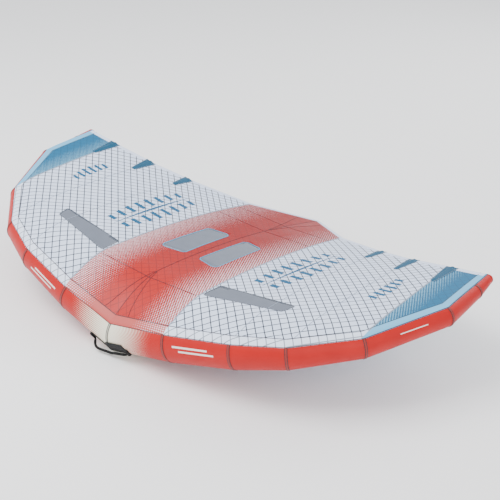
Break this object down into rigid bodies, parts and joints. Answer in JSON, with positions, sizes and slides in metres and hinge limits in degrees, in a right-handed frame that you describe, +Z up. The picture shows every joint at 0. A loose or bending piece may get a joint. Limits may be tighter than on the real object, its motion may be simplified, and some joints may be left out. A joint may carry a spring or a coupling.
{
  "type": "inflatable hand-held wing",
  "caption": "Inflatable hand-held foiling wing: segmented leading-edge tube, centre strut, cambered canopy with windows and battens, loop handles, inflation valve, air hose and clamp.",
  "frame": {"origin": "on the ground, under the middle of the footprint, with the wing lying on its nose tube and tail pad", "axes": "+X towards one wing tip, +Y from the leading edge to the trailing edge, +Z up"},
  "size_m": [3.396, 2.2176, 0.5559],
  "materials": {
    "tube_cloth_red": "coated woven polyester, satin",
    "tube_cloth_cream": "coated woven polyester, satin",
    "ripstop_red": "printed ripstop, satin",
    "ripstop_white": "ripstop with a dark grid, satin",
    "ripstop_blue": "printed ripstop, satin",
    "hem_white": "folded cloth tape",
    "window_film": "smoked film, glossy",
    "pocket_teal": "coated cloth",
    "fibreglass": "flat glass-fibre rod",
    "bladder_film": "welded air-tight film",
    "webbing_black": "woven webbing",
    "grip_foam": "closed-cell foam, matt",
    "valve_plastic": "moulded, satin",
    "lever_red": "moulded, satin",
    "hose_silicone": "moulded silicone, satin"
  },
  "bodies": {
    "wing": {"le_panel_left_1": "tube_cloth_cream", "le_panel_left_2": "tube_cloth_red", "le_panel_left_3": "tube_cloth_red", "le_panel_left_4": "tube_cloth_red", "le_panel_left_5": "tube_cloth_red", "le_panel_left_6": "tube_cloth_red", "le_panel_left_7": "tube_cloth_red", "le_panel_right_1": "tube_cloth_cream", "le_panel_right_2": "tube_cloth_red", "le_panel_right_3": "tube_cloth_red", "le_panel_right_4": "tube_cloth_red", "le_panel_right_5": "tube_cloth_red", "le_panel_right_6": "tube_cloth_red", "le_panel_right_7": "tube_cloth_red", "le_tip_cap_left": "tube_cloth_red", "le_tip_cap_right": "tube_cloth_red", "le_bladder": "bladder_film", "canopy_centre_left": "ripstop_red", "canopy_centre_right": "ripstop_red", "canopy_middle_left": "ripstop_white", "canopy_middle_right": "ripstop_white", "canopy_tip_left": "ripstop_blue", "canopy_tip_right": "ripstop_blue", "window_small_left": "window_film", "window_small_right": "window_film", "window_large_left": "window_film", "window_large_right": "window_film", "trailing_edge_hem_left": "hem_white", "trailing_edge_hem_right": "hem_white", "batten_pocket_inner_left": "pocket_teal", "batten_pocket_middle_left": "pocket_teal", "batten_pocket_outer_left": "pocket_teal", "batten_pocket_inner_right": "pocket_teal", "batten_pocket_middle_right": "pocket_teal", "batten_pocket_outer_right": "pocket_teal", "batten_inner_left": "fibreglass", "batten_middle_left": "fibreglass", "batten_outer_left": "fibreglass", "batten_inner_right": "fibreglass", "batten_middle_right": "fibreglass", "batten_outer_right": "fibreglass", "strut_tube": "tube_cloth_cream", "strut_bladder": "bladder_film", "strut_tail_cap": "webbing_black", "strut_handle_base_front": "webbing_black", "strut_handle_base_rear": "webbing_black", "nose_handle_base": "webbing_black", "valve_body": "valve_plastic", "air_hose": "hose_silicone", "hose_clamp_body": "valve_plastic", "leash_loop": "webbing_black"},
    "strut_handle_front": {"strut_handle_strap_front": "webbing_black", "strut_handle_grip_front": "grip_foam"},
    "strut_handle_rear": {"strut_handle_strap_rear": "webbing_black", "strut_handle_grip_rear": "grip_foam"},
    "nose_handle": {"nose_handle_loop": "webbing_black"},
    "valve_cap": {"valve_cap": "valve_plastic"},
    "valve_poppet": {"valve_poppet": "valve_plastic"},
    "clamp_lever": {"hose_clamp_lever": "lever_red"}
  },
  "joints": [
    {"name": "strut_handle_front_swing", "type": "hinge", "parent": "wing", "child": "strut_handle_front", "pos_m": [0, -0.26586, 0.16538], "axis": [0, 0.997, -0.077], "range_deg": [-80, 80]},
    {"name": "strut_handle_rear_swing", "type": "hinge", "parent": "wing", "child": "strut_handle_rear", "pos_m": [0, 0.31068, 0.10545], "axis": [0, 0.9914, -0.1309], "range_deg": [-80, 80]},
    {"name": "nose_handle_swing", "type": "hinge", "parent": "wing", "child": "nose_handle", "pos_m": [0, -1.0735, 0.0645], "axis": [1, 0, 0], "range_deg": [-70, 20]},
    {"name": "valve_cap_hinge", "type": "hinge", "parent": "wing", "child": "valve_cap", "pos_m": [0.2, -0.82374, 0.20078], "axis": [1, 0, 0], "range_deg": [0, 150]},
    {"name": "valve_poppet_press", "type": "slide", "parent": "wing", "child": "valve_poppet", "axis": [0, -1, 0], "range_m": [0, 0.005], "stiffness_N_per_m": 300, "springref_m": -0.003},
    {"name": "clamp_lever_hinge", "type": "hinge", "parent": "wing", "child": "clamp_lever", "pos_m": [-0.13443, -0.68309, 0.1841], "axis": [0.198, 0.9789, 0.0512], "range_deg": [0, 110]}
  ]
}
